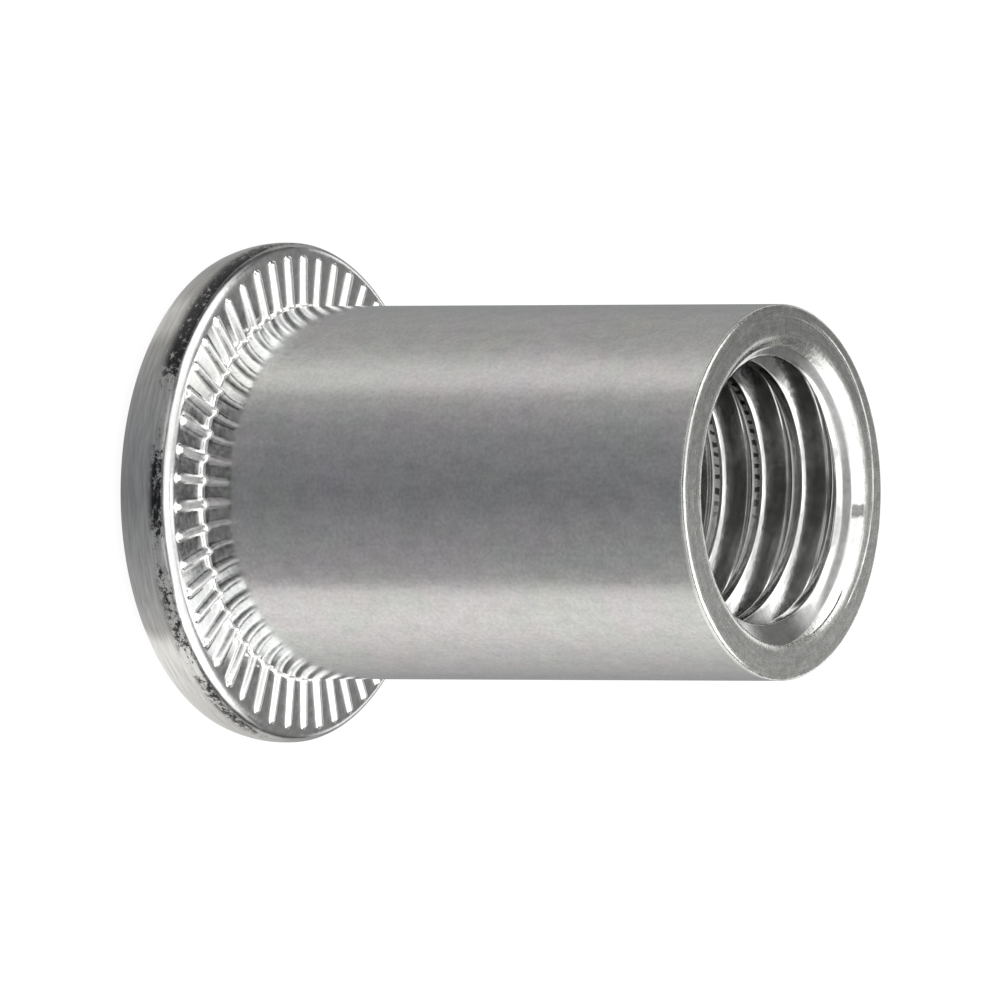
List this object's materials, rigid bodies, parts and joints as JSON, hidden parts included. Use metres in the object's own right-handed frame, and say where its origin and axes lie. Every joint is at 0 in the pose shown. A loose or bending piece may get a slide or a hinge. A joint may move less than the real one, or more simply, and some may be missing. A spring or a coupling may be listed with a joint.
{
  "type": "rivet nut",
  "caption": "Blind rivet nut: a plain round steel tube with an internal metric thread at its tail, a smooth chamber at its head and a flat flange with radial serrations under it.",
  "frame": {"origin": "centre of the flange's outer face, which the nut stands on", "axes": "+Z along the nut's axis, from the flange to the threaded tail; +X and +Y across it"},
  "size_m": [0.016, 0.016, 0.0205],
  "materials": {
    "zinc_plated_steel": "satin"
  },
  "bodies": {
    "root": {"rivet_nut": "zinc_plated_steel"}
  },
  "joints": []
}
